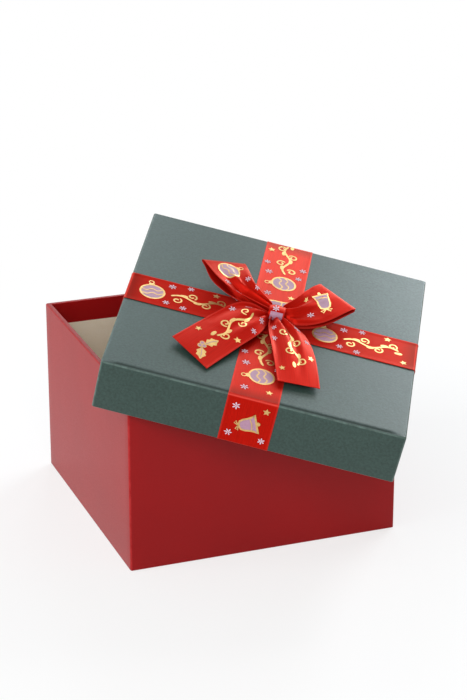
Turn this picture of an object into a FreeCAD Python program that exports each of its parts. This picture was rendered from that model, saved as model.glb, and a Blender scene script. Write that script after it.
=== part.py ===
import FreeCAD, Part
import math
import os
import re

import Sketcher

# A rigid two-piece gift box: a red base, and a green lid with a satin ribbon cross and a bow.
# The lid lies askew on the rim of the open base. Millimetres and degrees; +X runs right along
# the front of the base, +Y to its back, +Z up, and the origin is under the middle of the base.

Vector = FreeCAD.Vector

SIZES = {
    # base
    "box_width": 144.0,
    "box_depth": 144.0,
    "box_height": 95.0,
    "board": 2.0,
    "paper": 0.2,
    "stay_paper": 0.1,
    "stay_leg": 12.0,
    "base_turn_in": 15.0,
    "base_turn_under": 14.0,
    "liner_drop": 12.0,
    "bottom_sheet_inset": 3.0,
    # lid
    "lid_height": 27.0,
    "lid_clearance": 0.6,
    "lid_turn_in": 18.0,
    # ribbon cross
    "ribbon_width": 25.0,
    "ribbon_gauge": 0.2,
    "ribbon_end_gap": 9.6,
    "cross_shift": -2.5,
    "tape_gauge": 0.08,
    "tape_width": 19.0,
    "tape_height": 12.0,
    # bow
    "knot_x": 1.0,
    "knot_width": 9.0,
    "knot_depth": 9.0,
    "knot_height": 7.0,
    "knot_round": 1.8,
    "dot_radius": 3.5,
    "dot_height": 0.6,
    "loop_gather": 6.0,
    "tail_gather": 4.2,
    "loop_bend": 1.2,
    "loop_arch": 2.2,
    "loop_low": 3.0,
    "loop_high": 5.6,
    "left_tail_level": 2.6,
    "right_tail_level": 4.6,
    "tail_arch": 1.2,
    "bow_gap": 0.1,
    # how the lid lies on the rim
    "lid_yaw": -27.5,
    "lid_tilt": 17.5,
    "lid_heading": -68.4,
    "corner_inset": 6.4,
    "corner_along": -1.9,
    "rest_gap": 0.1,
}

# The far ends of the bow in the lid's frame: the middle of each, and the way that its edge runs across
LOOP_ENDS = {
    "left": (Vector(-30.0, 30.0, 8.5), Vector(22.4, 11.0, -1.3)),
    "right": (Vector(29.6, 20.8, 9.0), Vector(22.4, -10.5, -3.7)),
}
TAIL_ENDS = {
    "left": (Vector(-35.5, -55.0, 3.0), Vector(21.3, -13.4, -3.0)),
    "right": (Vector(20.5, -59.5, 4.0), Vector(24.4, 4.0, -2.0)),
}
# The share of a loop's or tail's run at which the gathered ribbon has opened to its full width
FULL_WIDTH_AT = 0.4
# How finely the ribbon runs are divided
LOOP_STEPS = 6
BEND_STEPS = 4
TAIL_STEPS = 8
# The spacing of the points at which the lid is tried on the rim, and a length beyond every size
SAMPLE_STEP = 0.25
FAR = 500.0

doc = FreeCAD.newDocument("gift_box")
sheet = doc.addObject("Spreadsheet::Sheet", "Sizes")
for row, (alias, number) in enumerate(SIZES.items(), 1):
    sheet.set(f"A{row}", alias)
    sheet.set(f"B{row}", str(number))
    sheet.setAlias(f"B{row}", alias)
doc.recompute()

# Sizes that follow from the driving ones
SKIN = "(paper + stay_paper)"
WALL = "(paper + stay_paper + board + paper)"
LID_WIDTH = f"(box_width + 2 * lid_clearance + 2 * {WALL})"
LID_DEPTH = f"(box_depth + 2 * lid_clearance + 2 * {WALL})"
FLOOR = "(2 * paper + board)"
CEILING = "(-(2 * paper + board))"
SKIRT_END = "(-lid_height)"
RIBBON_END = f"({CEILING} - ribbon_end_gap)"

nodes = {}


def size(alias):
    return float(sheet.get(alias))


def expression(text):
    """Point every size name in the text at its cell."""
    return re.sub(r"[a-z_]+", lambda word: "Sizes." + word.group(), text)


def bind(item, **texts):
    for name, text in texts.items():
        item.setExpression(name, expression(text))


def block(name, width, depth, bottom, top, middle=("0", "0")):
    """A box centred in plan on the middle, between two heights."""
    box = doc.addObject("Part::Box", name)
    bind(box, Length=width, Width=depth, Height=f"({top}) - ({bottom})")
    box.setExpression("Placement.Base.x", expression(f"{middle[0]} - ({width}) / 2"))
    box.setExpression("Placement.Base.y", expression(f"{middle[1]} - ({depth}) / 2"))
    box.setExpression("Placement.Base.z", expression(bottom))
    return box


def cut(name, solid, *tools):
    for number, tool in enumerate(tools):
        result = doc.addObject("Part::Cut", f"{name}_cut{number}")
        result.Base = solid
        result.Tool = tool
        solid = result
    return solid


def fuse(name, *solids):
    result = doc.addObject("Part::MultiFuse", name)
    result.Shapes = list(solids)
    return result


def ring(name, width, depth, wall, bottom, top):
    """An upright rectangular tube of the given outside size and wall."""
    outside = block(name + "_outside", width, depth, bottom, top)
    inside = block(name + "_inside", f"{width} - 2 * {wall}", f"{depth} - 2 * {wall}", bottom, top)
    return cut(name, outside, inside)


def panel(label, width, depth, bottom, top, middle=("0", "0"), rounding=None):
    """A rectangular panel padded upwards from its outline."""
    body = doc.addObject("PartDesign::Body", label)
    outline = body.newObject("Sketcher::SketchObject", label + "_outline")
    plane = [item for item in body.Origin.OriginFeatures if item.Role == "XY_Plane"][0]
    outline.AttachmentSupport = [(plane, "")]
    outline.MapMode = "FlatFace"
    outline.setExpression("AttachmentOffset.Base.x", expression(middle[0]))
    outline.setExpression("AttachmentOffset.Base.y", expression(middle[1]))
    outline.setExpression("AttachmentOffset.Base.z", expression(bottom))
    corners = [Vector(-1, -1), Vector(1, -1), Vector(1, 1), Vector(-1, 1)]
    for side in range(4):
        outline.addGeometry(Part.LineSegment(corners[side], corners[(side + 1) % 4]))
    for side in range(4):
        outline.addConstraint(Sketcher.Constraint("Coincident", side, 2, (side + 1) % 4, 1))
    for side in (0, 2):
        outline.addConstraint(Sketcher.Constraint("Horizontal", side))
        outline.addConstraint(Sketcher.Constraint("Vertical", side + 1))
    outline.addConstraint(Sketcher.Constraint("Symmetric", 0, 1, 2, 1, -1, 1))
    across = outline.addConstraint(Sketcher.Constraint("DistanceX", 0, 1, 0, 2, 2.0))
    deep = outline.addConstraint(Sketcher.Constraint("DistanceY", 1, 1, 1, 2, 2.0))
    outline.setExpression(f"Constraints[{across}]", expression(width))
    outline.setExpression(f"Constraints[{deep}]", expression(depth))
    pad = body.newObject("PartDesign::Pad", label + "_pad")
    pad.Profile = outline
    bind(pad, Length=f"({top}) - ({bottom})")
    outline.Visibility = False
    if rounding:
        doc.recompute()
        rounded = body.newObject("PartDesign::Fillet", label + "_round")
        rounded.Base = (pad, [f"Edge{number + 1}" for number in range(len(pad.Shape.Edges))])
        bind(rounded, Radius=rounding)
    return body


def keep(label, item, pose=None):
    """Name a finished sub-part and put it in its place."""
    item.Label = label
    if pose:
        item.Placement = pose
    nodes[label] = item


def boards(name, width, depth, bottom, top, pose=None):
    """Four wall boards: the left and right ones run full depth, the others fit between them."""
    outer_width = f"({width} - 2 * {SKIN})"
    outer_depth = f"({depth} - 2 * {SKIN})"
    side = f"({outer_width} - board) / 2"
    end = f"({outer_depth} - board) / 2"
    between = f"({outer_width} - 2 * board)"
    walls = {
        "front": (between, "board", ("0", "-" + end)),
        "back": (between, "board", ("0", end)),
        "left": ("board", outer_depth, ("-" + side, "0")),
        "right": ("board", outer_depth, (side, "0")),
    }
    for place, (wide, deep, middle) in walls.items():
        label = f"{name}_{place}_board"
        keep(label, panel(label, wide, deep, bottom, top, middle), pose)


def corner_stays(label, width, depth, bottom, top, pose=None):
    """Paper strips round the four corners, between the boards and the wrap."""
    wide = f"({width} - 2 * paper)"
    deep = f"({depth} - 2 * paper)"
    tube = ring(label + "_tube", wide, deep, "stay_paper", bottom, top)
    along_x = block(label + "_gap_x", f"{wide} - 2 * stay_leg", deep, bottom, top)
    along_y = block(label + "_gap_y", wide, f"{deep} - 2 * stay_leg", bottom, top)
    keep(label, cut(label, tube, along_x, along_y), pose)


def inner_board(label, width, depth, bottom, top, pose=None):
    """The bottom or top board, which fits inside the wall boards."""
    inset = f"2 * ({SKIN} + board)"
    keep(label, panel(label, f"{width} - {inset}", f"{depth} - {inset}", bottom, top), pose)


def make_base():
    width = "box_width"
    depth = "box_depth"
    underside = "paper"
    board_bottom = "2 * paper"
    board_top = "box_height - paper"
    sheet_inset = "2 * bottom_sheet_inset"
    keep("base_bottom_sheet", panel("base_bottom_sheet", f"{width} - {sheet_inset}",
                                    f"{depth} - {sheet_inset}", "0", "paper"))
    inner_board("base_bottom_board", width, depth, board_bottom, FLOOR)
    boards("base", width, depth, board_bottom, board_top)
    corner_stays("base_corner_stays", width, depth, board_bottom, board_top)
    inside_width = f"({width} - 2 * {WALL})"
    inside_depth = f"({depth} - 2 * {WALL})"
    keep("base_wrap", fuse(
        "base_wrap",
        ring("base_wrap_walls", width, depth, "paper", underside, "box_height"),
        ring("base_wrap_under", width, depth, "base_turn_under", underside, board_bottom),
        ring("base_wrap_rim", width, depth, WALL, board_top, "box_height"),
        ring("base_wrap_turn_in", f"({inside_width} + 2 * paper)", f"({inside_depth} + 2 * paper)",
             "paper", "box_height - base_turn_in", "box_height"),
    ))
    keep("base_wall_liner", ring("base_wall_liner", inside_width, inside_depth, "paper",
                                 FLOOR, "box_height - liner_drop"))
    keep("base_floor_liner", panel("base_floor_liner", f"{inside_width} - 2 * paper",
                                   f"{inside_depth} - 2 * paper", FLOOR, f"{FLOOR} + paper"))


def make_lid(pose):
    """The lid in its own frame: the top surface at height 0, the skirt below it."""
    board_top = "-paper"
    board_bottom = f"{SKIRT_END} + paper"
    ceiling_board = "-(paper + board)"
    inner_board("lid_top_board", LID_WIDTH, LID_DEPTH, ceiling_board, board_top, pose)
    boards("lid", LID_WIDTH, LID_DEPTH, board_bottom, board_top, pose)
    corner_stays("lid_corner_stays", LID_WIDTH, LID_DEPTH, board_bottom, board_top, pose)
    inside_width = f"({LID_WIDTH} - 2 * {WALL})"
    inside_depth = f"({LID_DEPTH} - 2 * {WALL})"
    keep("lid_wrap", fuse(
        "lid_wrap",
        block("lid_wrap_top", LID_WIDTH, LID_DEPTH, board_top, "0"),
        ring("lid_wrap_walls", LID_WIDTH, LID_DEPTH, "paper", SKIRT_END, "0"),
        ring("lid_wrap_rim", LID_WIDTH, LID_DEPTH, WALL, SKIRT_END, board_bottom),
        ring("lid_wrap_turn_in", f"({inside_width} + 2 * paper)", f"({inside_depth} + 2 * paper)",
             "paper", SKIRT_END, f"{SKIRT_END} + lid_turn_in"),
    ), pose)
    keep("lid_liner", panel("lid_liner", inside_width, inside_depth, CEILING, ceiling_board), pose)


def ribbon_band(label, turned, lift, pose):
    """A ribbon over the lid, down two skirts, under their edges and up inside them."""
    shift = "cross_shift" if turned else "0"
    span = LID_WIDTH if turned else LID_DEPTH
    below = f"{SKIRT_END} - ribbon_gauge"

    def length(name, long_size, bottom, top):
        if turned:
            return block(name, long_size, "ribbon_width", bottom, top, ("0", shift))
        return block(name, "ribbon_width", long_size, bottom, top, (shift, "0"))

    inside = f"({span} - 2 * {WALL})"
    outside = length(label + "_outside", f"{span} + 2 * ribbon_gauge", below, f"{lift} + ribbon_gauge")
    lid_core = length(label + "_lid_core", span, SKIRT_END, lift)
    hollow = length(label + "_hollow", inside, below, SKIRT_END)
    ends = length(label + "_ends", inside, below, RIBBON_END)
    ends_core = length(label + "_ends_core", f"{inside} - 2 * ribbon_gauge", below, RIBBON_END)
    over = cut(label + "_over", outside, lid_core, hollow)
    keep(label, fuse(label, over, cut(label + "_legs", ends, ends_core)), pose)


def end_tapes(label, pose):
    """Tape over the four ribbon ends inside the skirt."""
    low = f"{RIBBON_END} - tape_height / 2"
    high = f"{RIBBON_END} + tape_height / 2"
    wide = f"({LID_WIDTH} - 2 * {WALL} - 2 * ribbon_gauge)"
    deep = f"({LID_DEPTH} - 2 * {WALL} - 2 * ribbon_gauge)"
    side_middle = ("0", "cross_shift")
    ends = cut("tape_ends", block("tape_ends_outside", "tape_width", deep, low, high),
               block("tape_ends_inside", "tape_width", f"{deep} - 2 * tape_gauge", low, high))
    sides = cut("tape_sides", block("tape_sides_outside", wide, "tape_width", low, high, side_middle),
                block("tape_sides_inside", f"{wide} - 2 * tape_gauge", "tape_width", low, high,
                      side_middle))
    keep(label, fuse(label, ends, sides), pose)


def section(middle, across, along):
    """The thin closed outline of the ribbon at one place on its way."""
    half = across * 0.5
    lift = across.cross(along).normalize() * (size("ribbon_gauge") / 2)
    corners = [middle - half - lift, middle + half - lift, middle + half + lift, middle - half + lift]
    return Part.makePolygon(corners + corners[:1])


def ribbon_solid(label, middles, acrosses, pose):
    """A length of ribbon through the given middles and widths."""
    sections = []
    last = len(middles) - 1
    for place, (middle, across) in enumerate(zip(middles, acrosses)):
        along = middles[min(place + 1, last)] - middles[max(place - 1, 0)]
        sections.append(section(middle, across, along))
    item = doc.addObject("Part::Feature", label)
    item.Shape = Part.makeLoft(sections, True, True)
    keep(label, item, pose)


def spread(part, start, end, gather):
    """The vector across the ribbon, from the gathered start to the full-width end."""
    opened = min(part / FULL_WIDTH_AT, 1.0)
    opened = opened * opened * (3 - 2 * opened)
    wide = gather + (end.Length - gather) * opened
    return (start * (1 - part) + end * (part / end.Length)).normalize() * wide


def loop_run(start, tip, first, edge):
    """A loop from the knot: out along the bottom, round the tip and back over the top."""
    low = size("loop_low")
    high = size("loop_high")
    bend = size("loop_bend")
    gather = size("loop_gather")
    axis = Vector(tip.x - start.x, tip.y - start.y, 0).normalize()
    parts = [step / LOOP_STEPS for step in range(LOOP_STEPS)]
    middles = []
    acrosses = []
    for part in parts:
        place = start + (tip - start) * part
        place.z = low + (tip.z - bend - low) * part ** 1.5
        middles.append(place)
        acrosses.append(spread(part, first, edge, gather))
    for step in range(BEND_STEPS + 1):
        turn = math.pi * (step / BEND_STEPS - 0.5)
        middles.append(tip + axis * (bend * math.cos(turn)) + Vector(0, 0, bend * math.sin(turn)))
        acrosses.append(edge)
    for part in reversed(parts):
        place = start + (tip - start) * part
        place.z = high + (tip.z + bend - high) * part + size("loop_arch") * math.sin(math.pi * part)
        middles.append(place)
        acrosses.append(spread(part, first, edge, gather))
    return middles, acrosses


def tail_run(start, end, edge):
    """A tail from the knot to its cut end, a little arched."""
    middles = []
    acrosses = []
    for step in range(TAIL_STEPS + 1):
        part = step / TAIL_STEPS
        place = start + (end - start) * part
        place.z += size("tail_arch") * math.sin(math.pi * part)
        middles.append(place)
        acrosses.append(spread(part, Vector(1, 0, 0), edge, size("tail_gather")))
    return middles, acrosses


def make_bow(pose):
    knot_bottom = "(2 * ribbon_gauge + dot_height)"
    knot = panel("bow_knot", "knot_width", "knot_depth", knot_bottom, f"{knot_bottom} + knot_height",
                 ("knot_x", "cross_shift"), "knot_round")
    keep("bow_knot", knot, pose)
    dot = doc.addObject("Part::Cylinder", "bow_glue_dot")
    bind(dot, Radius="dot_radius", Height="dot_height")
    dot_place = Vector(size("knot_x"), size("cross_shift"), 2 * size("ribbon_gauge"))
    keep("bow_glue_dot", dot, pose.multiply(FreeCAD.Placement(dot_place, FreeCAD.Rotation())))

    width = size("ribbon_width")
    reach = size("knot_width") / 2 + size("bow_gap")
    for hand, (tip, edge) in LOOP_ENDS.items():
        side = math.copysign(1, tip.x)
        start = Vector(size("knot_x") + side * reach, size("cross_shift"), size("loop_low"))
        middles, acrosses = loop_run(start, tip, Vector(0, -side, 0), edge.normalize() * width)
        ribbon_solid(f"bow_{hand}_loop", middles, acrosses, pose)

    front = size("cross_shift") - size("knot_depth") / 2 - size("bow_gap")
    for hand, (end, edge) in TAIL_ENDS.items():
        side = math.copysign(1, end.x)
        start = Vector(size("knot_x") + side * size("knot_width") / 4, front, size(f"{hand}_tail_level"))
        middles, acrosses = tail_run(start, end, edge.normalize() * width)
        ribbon_solid(f"bow_{hand}_tail", middles, acrosses, pose)


def span_in_box(point, way, low, high):
    """The stretch of a line, as two distances along its way, that lies in a box."""
    enter = -math.inf
    leave = math.inf
    for axis in range(3):
        ends = sorted(((low[axis] - point[axis]) / way[axis], (high[axis] - point[axis]) / way[axis]))
        enter = max(enter, ends[0])
        leave = min(leave, ends[1])
    return enter, leave


def square_edge(half_x, half_y, height):
    """Points along the four sides of a level rectangle."""
    points = []
    for half, other, turned in ((half_x, half_y, False), (half_y, half_x, True)):
        count = math.ceil(2 * half / SAMPLE_STEP)
        for number in range(count + 1):
            along = -half + 2 * half * number / count
            for beside in (-other, other):
                points.append(Vector(beside, along, height) if turned else Vector(along, beside, height))
    return points


def resting_pose(lid_width, lid_depth, wall):
    """Lower the turned and tilted lid straight down until it first meets the rim.

    The rim's front right corner lies under the lid, a set way in from its right skirt.
    """
    heading = math.radians(size("lid_heading"))
    tilt = FreeCAD.Rotation(Vector(-math.sin(heading), math.cos(heading), 0), size("lid_tilt"))
    turn = tilt.multiply(FreeCAD.Rotation(Vector(0, 0, 1), size("lid_yaw")))
    back = turn.inverted()
    sinking = back.multVec(Vector(0, 0, -1))
    gauge = size("ribbon_gauge")
    inset = wall + gauge + size("tape_gauge")
    low_edge = -size("lid_height") - gauge
    ceiling = -(2 * size("paper") + size("board"))
    outer = (lid_width / 2 + gauge, lid_depth / 2 + gauge)
    inner = (lid_width / 2 - inset, lid_depth / 2 - inset)
    rim = size("box_height")
    rim_outer = (size("box_width") / 2, size("box_depth") / 2)
    rim_inner = (rim_outer[0] - wall, rim_outer[1] - wall)
    seat = turn.multVec(Vector(lid_width / 2 - wall - size("corner_inset"), size("corner_along"), ceiling))
    shift = Vector(rim_outer[0] - seat.x, -rim_outer[1] - seat.y, 0)
    height = 0.0
    for half in (rim_outer, rim_inner):
        for point in square_edge(*half, rim):
            start = back.multVec(point - shift)
            enter, leave = span_in_box(start, sinking, (-outer[0], -outer[1], low_edge),
                                       (outer[0], outer[1], 0))
            open_in, open_out = span_in_box(start, sinking, (-inner[0], -inner[1], low_edge - FAR),
                                            (inner[0], inner[1], ceiling))
            if open_in < leave <= open_out:
                leave = open_in
            if leave > enter:
                height = max(height, leave)
    for half in (outer, inner):
        for point in square_edge(*half, low_edge):
            place = turn.multVec(point) + shift
            within = abs(place.x) <= rim_outer[0] and abs(place.y) <= rim_outer[1]
            hollow = abs(place.x) < rim_inner[0] and abs(place.y) < rim_inner[1]
            if within and not hollow:
                height = max(height, rim - place.z)
    shift.z = height + size("rest_gap")
    return FreeCAD.Placement(shift, turn)


make_base()
lid_outline = block("lid_outline", LID_WIDTH, LID_DEPTH, "0", WALL)
doc.recompute()
lid_pose = resting_pose(lid_outline.Length.Value, lid_outline.Width.Value, lid_outline.Height.Value)
doc.removeObject(lid_outline.Name)
make_lid(lid_pose)
ribbon_band("ribbon_front_back", False, "0", lid_pose)
ribbon_band("ribbon_left_right", True, "ribbon_gauge", lid_pose)
end_tapes("ribbon_end_tapes", lid_pose)
make_bow(lid_pose)
doc.recompute()

for item in doc.Objects:
    if "Invalid" in item.State or "Error" in item.State:
        raise RuntimeError(f"{item.Label} did not build: {item.State}")
for label, item in nodes.items():
    if item.Shape.isNull() or not item.Shape.isValid() or not item.Shape.Solids:
        raise RuntimeError(f"{label} has no valid solid")

os.makedirs("parts", exist_ok=True)
for label, item in nodes.items():
    item.Shape.exportStep(f"parts/{label}.step")
print("lid top centre", lid_pose.Base, "nodes", len(nodes))
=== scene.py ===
import bisect
import math

import bpy
from mathutils import Matrix, Vector


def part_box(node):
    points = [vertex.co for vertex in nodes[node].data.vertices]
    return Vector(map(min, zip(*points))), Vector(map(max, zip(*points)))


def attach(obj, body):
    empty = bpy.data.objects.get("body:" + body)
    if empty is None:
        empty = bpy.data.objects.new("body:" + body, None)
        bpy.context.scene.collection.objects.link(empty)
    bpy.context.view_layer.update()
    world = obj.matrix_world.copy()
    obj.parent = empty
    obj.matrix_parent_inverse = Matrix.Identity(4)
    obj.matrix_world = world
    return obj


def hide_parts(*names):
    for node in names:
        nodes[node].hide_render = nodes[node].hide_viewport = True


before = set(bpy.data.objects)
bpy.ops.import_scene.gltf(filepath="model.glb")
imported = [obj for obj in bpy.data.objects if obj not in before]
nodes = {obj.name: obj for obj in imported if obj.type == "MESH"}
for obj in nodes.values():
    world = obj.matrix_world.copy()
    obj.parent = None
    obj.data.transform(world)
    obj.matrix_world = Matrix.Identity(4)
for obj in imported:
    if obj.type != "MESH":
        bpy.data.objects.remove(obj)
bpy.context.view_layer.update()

# A gift box: a red base and a green lid with a printed satin ribbon cross and a bow.
# Lengths are in metres, apart from the bow's and the print's, which are in millimetres.
MM = 0.001

# Paper
PAPER = 0.2 * MM
# The wraps stand this far proud of their boards, so that their rounded edges cover the boards' corners
PROUD = 0.25 * MM
# Roundings: upright corners, the base's rim, the lid's top and lower edges, and tight folds
WRAP_CORNER = 1.1 * MM
LINER_CORNER = 0.6 * MM
LEAST_CORNER = 0.15 * MM
RIM_EDGE = 0.8 * MM
LID_EDGE = 0.9 * MM
SKIRT_EDGE = 0.5 * MM
FOLD_EDGE = 0.4 * MM
# How far the wraps turn in over the base's rim, under its bottom, and up inside the lid
BASE_TURN_IN = 15.0 * MM
BASE_TURN_UNDER = 14.0 * MM
LID_TURN_IN = 18.0 * MM
# A line of shade is painted along the lid's front edge, where the paper stays flat: insets from the edge,
# each with its mark
FRONT_SHADE_LINE = ((4.4 * MM, 0.0), (3.0 * MM, -0.55), (2.2 * MM, -1.0), (1.2 * MM, -1.0))
# The painted shade keeps to points this near to the front, and stops this far short of the corners
SHADE_LINE_REACH = 0.2 * MM
SHADE_LINE_STOP = 1.0 * MM
# The rings of the lid's top reach this far in, and a fan of triangles closes the rest
LID_RINGS = 9.0 * MM
# The mark on the liner's top edge, which is painted lighter as wear and as a highlight on its cut edge
LINER_WEAR_AND_HIGHLIGHT = 0.7

# Ribbon
RIBBON_GAUGE = 0.2 * MM
# The selvedges are a thicker bead along each side, this share of the width
SELVEDGE = 0.04
SELVEDGE_GAUGE = 0.42 * MM
PRINT_LIFT = 0.05 * MM
PRINT_GAUGE = 0.04 * MM
# A band is painted darker, as shade, from the first inset from the lid's edge, and darkest between the other
# two
BAND_SHADE = 9.0 * MM
BAND_SHADE_LINE = (2.6 * MM, 1.4 * MM)
# It has one more stop this far down the skirt, and its ends reach this far up under their tapes
BAND_DROP = 3.0 * MM
BAND_END = 6.0 * MM
# Half the step over which a ribbon's slope is measured
NUDGE = 0.1 * MM
# For each kind of ribbon, the step along it and the number of steps across it
GRIDS = {"ribbon": (2.5 * MM, 10), "loop": (0.9 * MM, 28), "tail": (0.9 * MM, 28), "knot": (0.5 * MM, 110)}

# Steps of a rounded edge, of an upright corner and of a straight side
EDGE_STEPS = 5
CORNER_STEPS = 6
SIDE_STEPS = 24
SQUARE = ((-1, -1), (1, -1), (1, 1), (-1, 1))

# The photograph's camera
CAMERA_PLACE = (-0.3583, -0.9738, 0.4742)
CAMERA_TARGET = (-0.0107, -0.0547, 0.1042)
CAMERA_LENS_MM = 108.0
CAMERA_NEAR = 0.05

scene = bpy.context.scene


# The lid's own frame, read from its top board

def extent(points):
    """The lowest and highest corners of the box round some points."""
    low = Vector([min(point[axis] for point in points) for axis in range(3)])
    high = Vector([max(point[axis] for point in points) for axis in range(3)])
    return low, high


def lid_matrix():
    """Columns right, to the back and up along the tilted lid, from the middle of its top surface."""
    normals = [face.normal.copy() for face in nodes["lid_top_board"].data.polygons]
    up = max(normals, key=lambda normal: normal.z)
    right = max(normals, key=lambda normal: normal.x)
    turn = Matrix((right, up.cross(right), up)).transposed()
    low, high = extent([turn.transposed() @ vertex.co for vertex in nodes["lid_wrap"].data.vertices])
    middle = Vector(((low.x + high.x) / 2, (low.y + high.y) / 2, high.z))
    return Matrix.Translation(turn @ middle) @ turn.to_4x4()


LID = lid_matrix()
IN_LID = LID.inverted()


def lid_box(node):
    """A node's lowest and highest corners in the lid's frame."""
    return extent([IN_LID @ vertex.co for vertex in nodes[node].data.vertices])


# Mesh helpers

def mesh_object(name, points, faces, materials, body):
    """A new piece that rides on a body."""
    mesh = bpy.data.meshes.new(name)
    mesh.from_pydata([tuple(point) for point in points], [], faces)
    mesh.validate()
    item = bpy.data.objects.new(name, mesh)
    scene.collection.objects.link(item)
    for material in materials:
        mesh.materials.append(material)
    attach(item, body)
    return item


def mark_points(item, name, values):
    """Keep one value for each point of a piece, for its finish."""
    mark = item.data.attributes.new(name, "FLOAT", "POINT")
    mark.data.foreach_set("value", values)


def shade(item, angle=40):
    """Shade a piece smooth, apart from edges sharper than the angle in degrees."""
    for face in item.data.polygons:
        face.use_smooth = True
    item.data.set_sharp_from_angle(angle=math.radians(angle))


def fillet(corners):
    """Points of a 2-D line whose corners (x, y, radius) are rounded. A corner of radius 0 can hold a mark.

    Each point carries a mark for the finish: up to 1 on an edge, painted lighter as wear and as a highlight,
    -1 where a line of shade is painted, and 0 elsewhere.
    """
    line = [(*corners[0][:2], 0.0)]
    for before, corner, after in zip(corners, corners[1:], corners[2:]):
        if corner[2] == 0:
            line.append((*corner[:2], corner[3] if len(corner) > 3 else 0.0))
            continue
        at = Vector(corner[:2])
        back = (Vector(before[:2]) - at).normalized()
        on = (Vector(after[:2]) - at).normalized()
        half = back.angle(on) / 2
        reach = corner[2] / math.tan(half)
        centre = at + (back + on).normalized() * (corner[2] / math.sin(half))
        start = at + back * reach - centre
        end = at + on * reach - centre
        for step in range(EDGE_STEPS + 1):
            part = step / EDGE_STEPS
            spoke = start.slerp(end, part) * corner[2]
            line.append((centre.x + spoke.x, centre.y + spoke.y, math.sin(math.pi * part)))
    line.append((*corners[-1][:2], 0.0))
    return line


def square_ring(half_x, half_y, radius):
    """A rounded rectangle as points with a corner mark, anticlockwise."""
    corners = []
    for sign_x, sign_y, begin in ((1, 1, 0), (-1, 1, 90), (-1, -1, 180), (1, -1, 270)):
        centre = Vector((sign_x * (half_x - radius), sign_y * (half_y - radius)))
        corner = []
        for step in range(CORNER_STEPS + 1):
            angle = math.radians(begin + 90 * step / CORNER_STEPS)
            spoke = Vector((math.cos(angle), math.sin(angle))) * radius
            corner.append((*(centre + spoke), math.sin(math.pi * step / CORNER_STEPS)))
        corners.append(corner)
    ring = []
    for corner, following in zip(corners, corners[1:] + corners[:1]):
        last = Vector(corner[-1][:2])
        start = Vector(following[0][:2])
        ring += corner
        ring += [(*last.lerp(start, step / SIDE_STEPS), 0.0) for step in range(1, SIDE_STEPS)]
    return ring


def swept_points(half_x, half_y, radius, profile, place):
    """The points of a swept shell, ring by ring, and their marks."""
    points = []
    wear_and_painted_light = []
    for inset, height, mark in profile:
        ring = square_ring(half_x - inset, half_y - inset, max(radius - inset, LEAST_CORNER))
        for x, y, corner in ring:
            points.append(place @ Vector((x, y, height)))
            # A negative mark paints a line of shade, kept to the front edge
            if mark < 0:
                in_front = y < inset - half_y + SHADE_LINE_REACH and abs(x) < half_x - inset - SHADE_LINE_STOP
                wear_and_painted_light.append(mark if in_front else 0.0)
            else:
                # A positive mark and the upright corners paint the edges lighter, as wear and as a highlight
                wear_and_painted_light.append(max(mark, corner if inset < radius else 0.0))
    return points, wear_and_painted_light


def swept(node, half_x, half_y, radius, profile, capped, place, material, body):
    """The paper that stands for a node: an outline (inset, height, mark) run round a rounded rectangle."""
    points, wear_and_painted_light = swept_points(half_x, half_y, radius, profile, place)
    count = len(points) // len(profile)
    faces = []
    rows = len(profile) - 1 if capped else len(profile)
    for row in range(rows):
        following = (row + 1) % len(profile)
        for number in range(count):
            other = (number + 1) % count
            faces.append((row * count + number, row * count + other,
                          following * count + other, following * count + number))
    if capped:
        # Each end is closed by triangles round a point in its middle
        for row, first, second in ((0, 1, 0), (len(profile) - 1, 0, 1)):
            middle = len(points)
            points.append(place @ Vector((0, 0, profile[row][1])))
            wear_and_painted_light.append(0.0)
            for number in range(count):
                pair = (row * count + number, row * count + (number + 1) % count)
                faces.append((middle, pair[first], pair[second]))
    item = mesh_object(node + "_paper", points, faces, [material], body)
    mark_points(item, "wear_and_painted_light", wear_and_painted_light)
    shade(item)
    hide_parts(node)


# Materials

def opaque(color):
    return (*color, 1.0)


def scaled(color, factor):
    return opaque(min(value * factor, 1.0) for value in color)


def feed(tree, socket, value):
    """Join a socket to another node's output, or set its value."""
    if isinstance(value, bpy.types.NodeSocket):
        tree.links.new(value, socket)
    else:
        socket.default_value = value


def new_node(tree, kind, inputs=None, **settings):
    """The outputs of a new shader node with these inputs and settings."""
    made = tree.nodes.new("ShaderNode" + kind)
    for name, value in settings.items():
        setattr(made, name, value)
    for socket, value in (inputs or {}).items():
        feed(tree, made.inputs[socket], value)
    return made.outputs


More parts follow.
